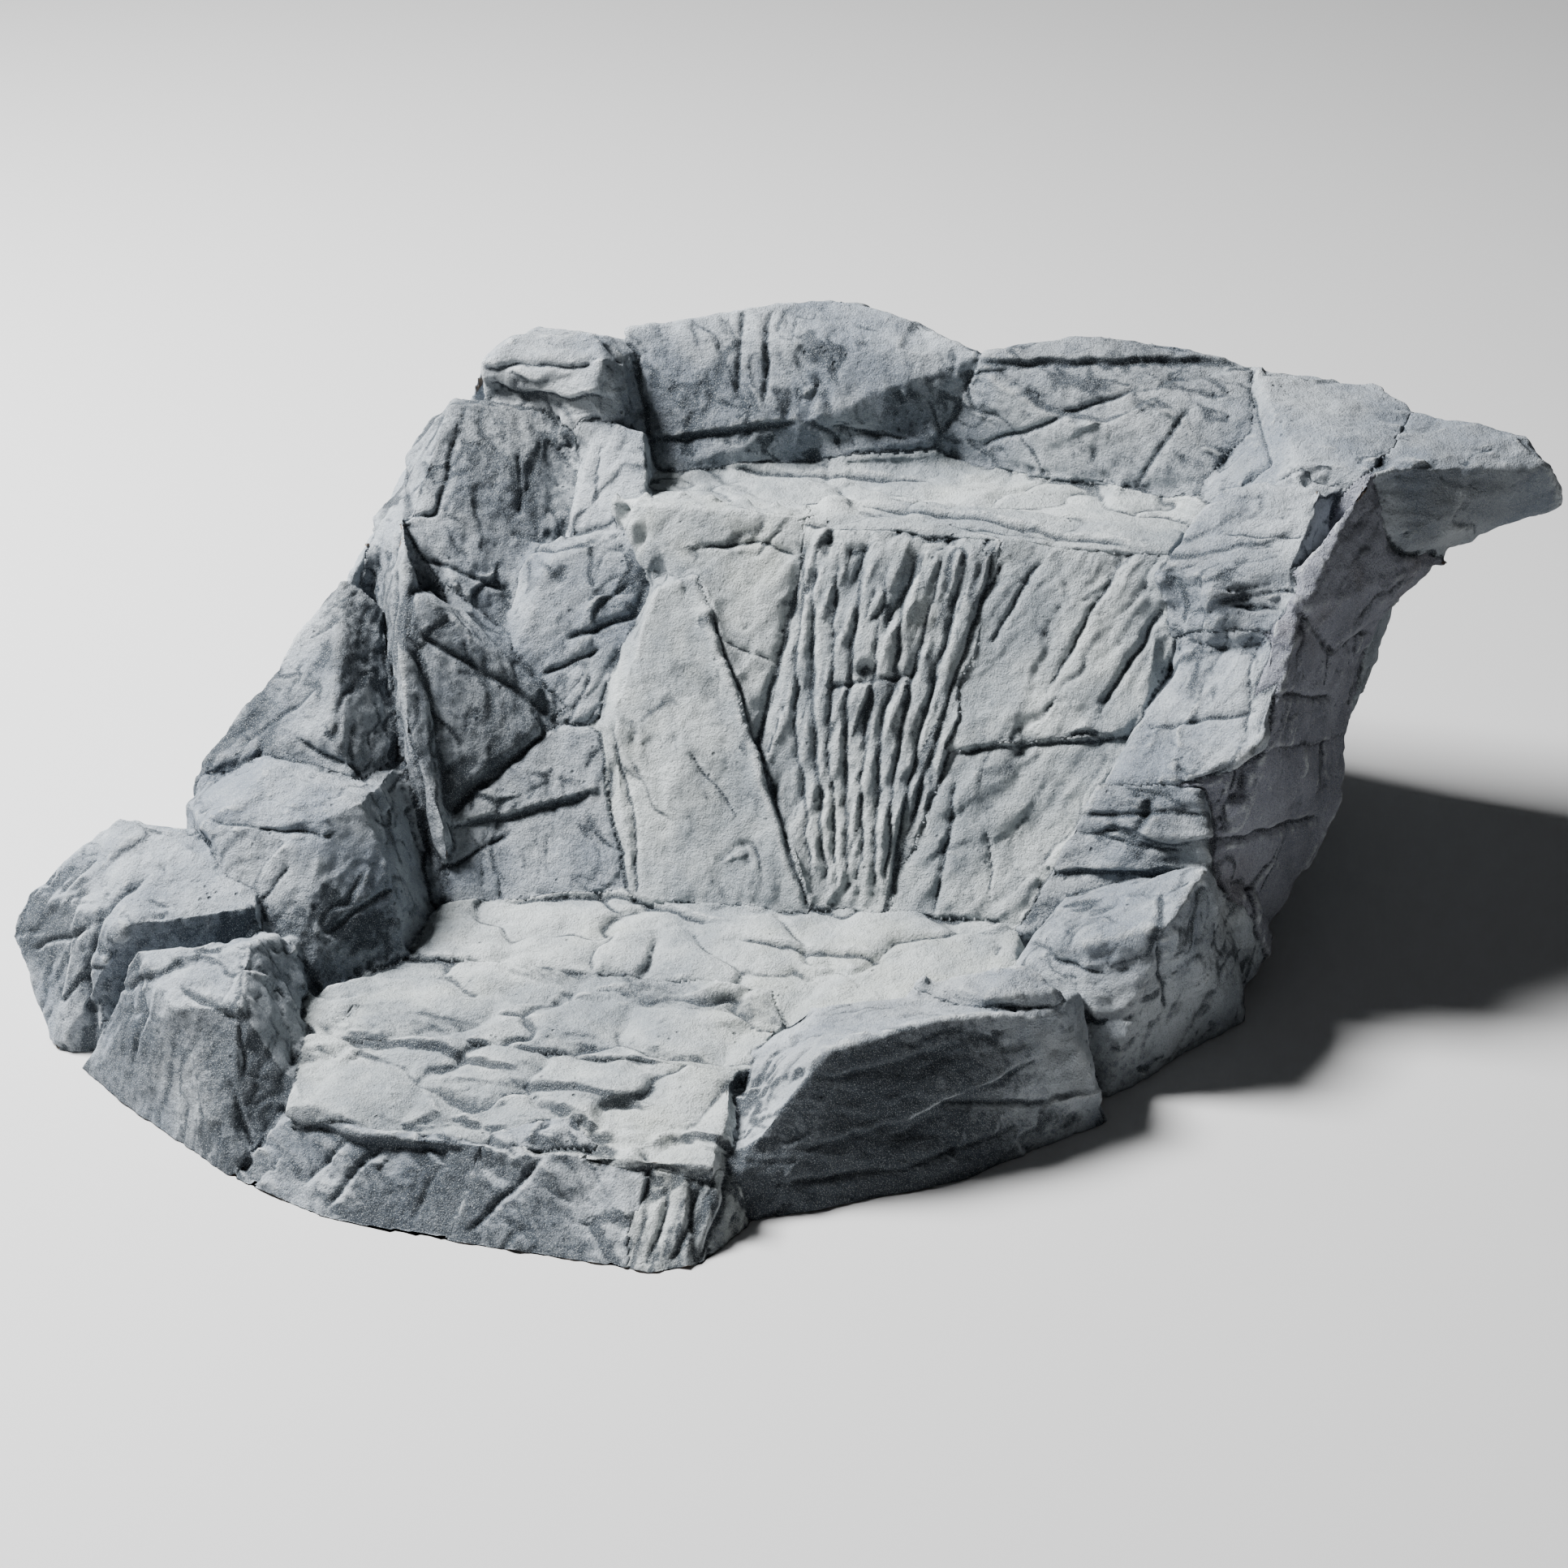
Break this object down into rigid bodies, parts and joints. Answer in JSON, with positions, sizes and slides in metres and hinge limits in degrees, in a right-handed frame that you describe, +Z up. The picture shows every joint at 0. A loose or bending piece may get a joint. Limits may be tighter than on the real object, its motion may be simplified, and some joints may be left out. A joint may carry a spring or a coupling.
{
  "type": "garden pond cascade",
  "caption": "Hollow artificial-rock pond cascade: an upper pool spills over a ledge and down a ribbed rock fall into a lower basin with boulders and a front lip.",
  "frame": {"origin": "centre of the footprint box, on the ground", "axes": "+Z up; +X to the right of the flow, along the longest side, towards the pointed horn; -Y the way the water runs"},
  "size_m": [1.12, 0.92, 0.445],
  "materials": {
    "cast_rock": "matte sanded stone texture, blue-grey with dark washed crevices",
    "flow_rock": "matte sanded stone texture, paler with a faint green tint where the water runs",
    "flank_rock": "matte stone texture, violet-grey with bare brown laminate near the ground",
    "rear_rock": "matte stone texture, plain",
    "fitting_plastic": "black moulded plastic",
    "seal_rubber": "black rubber"
  },
  "bodies": {
    "root": {"left_front_boulder": "cast_rock", "left_outer_boulder": "cast_rock", "left_inner_boulder": "cast_rock", "right_front_cap": "cast_rock", "right_front_boulder": "cast_rock", "right_rear_boulder": "cast_rock", "left_outer_rock": "cast_rock", "left_ridge_rock": "cast_rock", "left_shoulder_rock": "cast_rock", "right_foot_block": "cast_rock", "right_ridge_lower": "cast_rock", "right_ridge_upper": "cast_rock", "back_left_block": "cast_rock", "back_centre_block": "cast_rock", "back_right_block": "cast_rock", "back_right_wing": "cast_rock", "right_horn": "cast_rock", "right_flank_crown": "flank_rock", "outlet_lip": "flow_rock", "apron_centre": "cast_rock", "apron_left": "cast_rock", "basin_floor_front": "flow_rock", "basin_floor_middle": "flow_rock", "basin_floor_back": "flow_rock", "left_wedge_slab": "cast_rock", "left_top_block": "cast_rock", "left_upper_slab": "cast_rock", "left_lower_slab": "cast_rock", "cascade_pillar": "flow_rock", "cascade_left_slab": "flow_rock", "cascade_ribs": "flow_rock", "cascade_right_slab": "flow_rock", "cascade_right_foot": "flow_rock", "crest_ledge": "flow_rock", "upper_basin_floor": "flow_rock", "right_flank_upper": "flank_rock", "right_flank_lower": "flank_rock", "left_side_lower_rock": "rear_rock", "left_side_upper_rock": "rear_rock", "left_rear_corner_rock": "rear_rock", "rear_left_upper_rock": "rear_rock", "rear_left_lower_rock": "rear_rock", "rear_centre_left_rock": "rear_rock", "rear_centre_right_rock": "rear_rock", "rear_right_rock": "rear_rock", "rear_right_corner_rock": "rear_rock", "right_rear_rock": "rear_rock", "inlet_body": "fitting_plastic", "inlet_gasket": "seal_rubber", "inlet_locknut": "fitting_plastic"}
  },
  "joints": []
}
